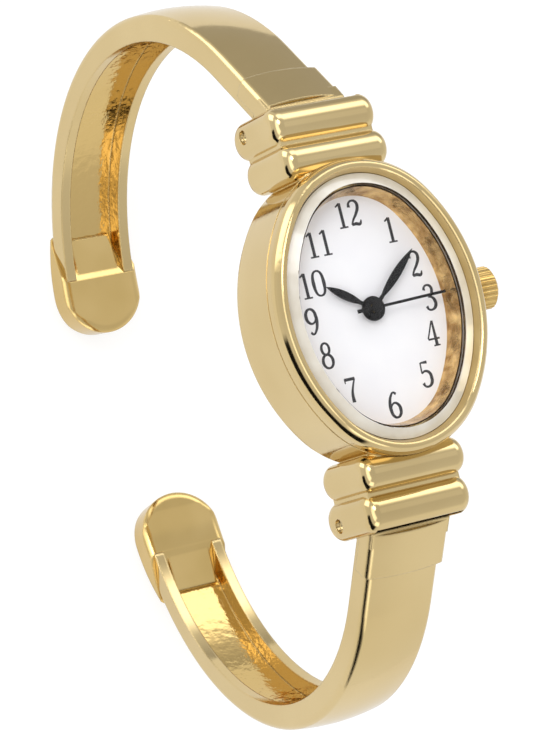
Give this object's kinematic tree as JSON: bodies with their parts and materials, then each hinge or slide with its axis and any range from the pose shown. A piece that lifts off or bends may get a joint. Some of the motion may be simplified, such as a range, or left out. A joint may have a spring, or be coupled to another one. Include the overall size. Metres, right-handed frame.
{
  "type": "cuff watch",
  "caption": "Cuff wristwatch: oval gold case with a white numeral dial on a hinged two-arm open bangle, worked by a quartz movement.",
  "frame": {"origin": "centre of the case back's outer face", "axes": "+Z out of the dial, +Y to 12 o'clock, +X to the crown at 3 o'clock"},
  "size_m": [0.0228, 0.0655, 0.0527],
  "materials": {
    "gold": "polished plating",
    "deep_gold": "polished plating",
    "seal_ring": "milky gloss",
    "crystal": "clear",
    "dial_white": "white gloss",
    "hand_black": "black gloss",
    "rubber": "matte",
    "steel": "satin",
    "plate": "satin",
    "holder": "matte",
    "board": "matte",
    "chip": "matte",
    "copper": "enamelled wire",
    "insulator": "film"
  },
  "bodies": {
    "case": {"case_middle": "gold", "bezel": "gold", "crystal_ring": "seal_ring", "crystal": "crystal", "dial_ring": "gold", "case_back": "gold", "back_gasket": "rubber", "crown_tube": "steel", "dial": "dial_white", "dial_washer": "plate", "movement_holder": "holder", "main_plate": "plate", "train_bridge": "plate", "bridge_screws": "steel", "circuit_board": "board", "circuit_chip": "chip", "quartz_can": "steel", "coil": "copper", "coil_core": "steel", "stator": "steel", "button_cell": "steel", "cell_insulator": "insulator", "cell_clamp": "steel", "upper_pin": "steel", "upper_spring": "steel", "lower_pin": "steel", "lower_spring": "steel"},
    "upper_cuff_arm": {"upper_arm": "gold", "upper_tip": "gold"},
    "lower_cuff_arm": {"lower_arm": "gold", "lower_tip": "gold"},
    "crown_seal": {"crown_gasket": "rubber"},
    "crown_stem": {"crown": "deep_gold", "stem": "steel"},
    "clutch": {"sliding_pinion": "steel"},
    "lever": {"setting_lever": "steel"},
    "second": {"second_hand": "hand_black", "fourth_wheel": "plate"},
    "minute": {"minute_hand": "hand_black", "centre_wheel": "plate"},
    "hour": {"hour_hand": "hand_black", "hour_wheel": "plate"},
    "motion_wheel": {"minute_wheel": "plate"},
    "setting_gear": {"setting_wheel": "plate"},
    "third": {"third_wheel": "plate"},
    "intermediate": {"intermediate_wheel": "plate"},
    "rotor": {"rotor": "steel"}
  },
  "joints": [
    {"name": "upper_hinge", "type": "hinge", "parent": "case", "child": "upper_cuff_arm", "pos_m": [0, 0.01685, 0.00077], "axis": [1, 0, 0], "range_deg": [0, 20], "stiffness_Nm_per_rad": 0.2, "springref_deg": -28.65},
    {"name": "lower_hinge", "type": "hinge", "parent": "case", "child": "lower_cuff_arm", "pos_m": [0, -0.01685, 0.00077], "axis": [-1, 0, 0], "range_deg": [0, 20], "stiffness_Nm_per_rad": 0.2, "springref_deg": -28.65},
    {"name": "crown_pull", "type": "slide", "parent": "case", "child": "crown_seal", "axis": [1, 0, 0], "range_m": [0, 0.0008]},
    {"name": "crown_turn", "type": "hinge", "parent": "crown_seal", "child": "crown_stem", "pos_m": [0.0107, 0, 0.004], "axis": [1, 0, 0], "continuous": true},
    {"name": "clutch_turn", "type": "hinge", "parent": "case", "child": "clutch", "pos_m": [0.0044, 0, 0.004], "axis": [1, 0, 0], "continuous": true},
    {"name": "lever_swing", "type": "hinge", "parent": "case", "child": "lever", "pos_m": [0.0058, -0.0022, 0.0034], "axis": [0, 0, -1], "range_deg": [0, 23]},
    {"name": "second_turn", "type": "hinge", "parent": "case", "child": "second", "pos_m": [0, 0, 0.0069], "axis": [0, 0, -1], "continuous": true},
    {"name": "minute_turn", "type": "hinge", "parent": "case", "child": "minute", "pos_m": [0, 0, 0.0066], "axis": [0, 0, -1], "continuous": true},
    {"name": "hour_turn", "type": "hinge", "parent": "case", "child": "hour", "pos_m": [0, 0, 0.0063], "axis": [0, 0, -1], "continuous": true},
    {"name": "motion_turn", "type": "hinge", "parent": "case", "child": "motion_wheel", "pos_m": [0.0012, 0.00208, 0.0051], "axis": [0, 0, -1], "continuous": true},
    {"name": "setting_turn", "type": "hinge", "parent": "case", "child": "setting_gear", "pos_m": [0.0035, 0.00015, 0.0051], "axis": [0, 0, -1], "continuous": true},
    {"name": "third_turn", "type": "hinge", "parent": "case", "child": "third", "pos_m": [-0.00085, 0.00235, 0.0045], "axis": [0, 0, -1], "continuous": true},
    {"name": "intermediate_turn", "type": "hinge", "parent": "case", "child": "intermediate", "pos_m": [-0.00237, -0.00086, 0.0045], "axis": [0, 0, -1], "continuous": true},
    {"name": "rotor_turn", "type": "hinge", "parent": "case", "child": "rotor", "pos_m": [-0.00363, -0.00212, 0.0045], "axis": [0, 0, -1], "continuous": true}
  ],
  "couplings": [
    {"joint": "clutch_turn", "follows": "crown_turn", "ratio": 1},
    {"joint": "lever_swing", "follows": "crown_pull", "rad_per_m": 465},
    {"joint": "minute_turn", "follows": "second_turn", "ratio": 0.016667},
    {"joint": "hour_turn", "follows": "second_turn", "ratio": 0.0013889},
    {"joint": "motion_turn", "follows": "second_turn", "ratio": -0.0055556},
    {"joint": "setting_turn", "follows": "second_turn", "ratio": 0.0083333},
    {"joint": "third_turn", "follows": "second_turn", "ratio": -0.13333},
    {"joint": "intermediate_turn", "follows": "second_turn", "ratio": -5},
    {"joint": "rotor_turn", "follows": "second_turn", "ratio": 30}
  ]
}
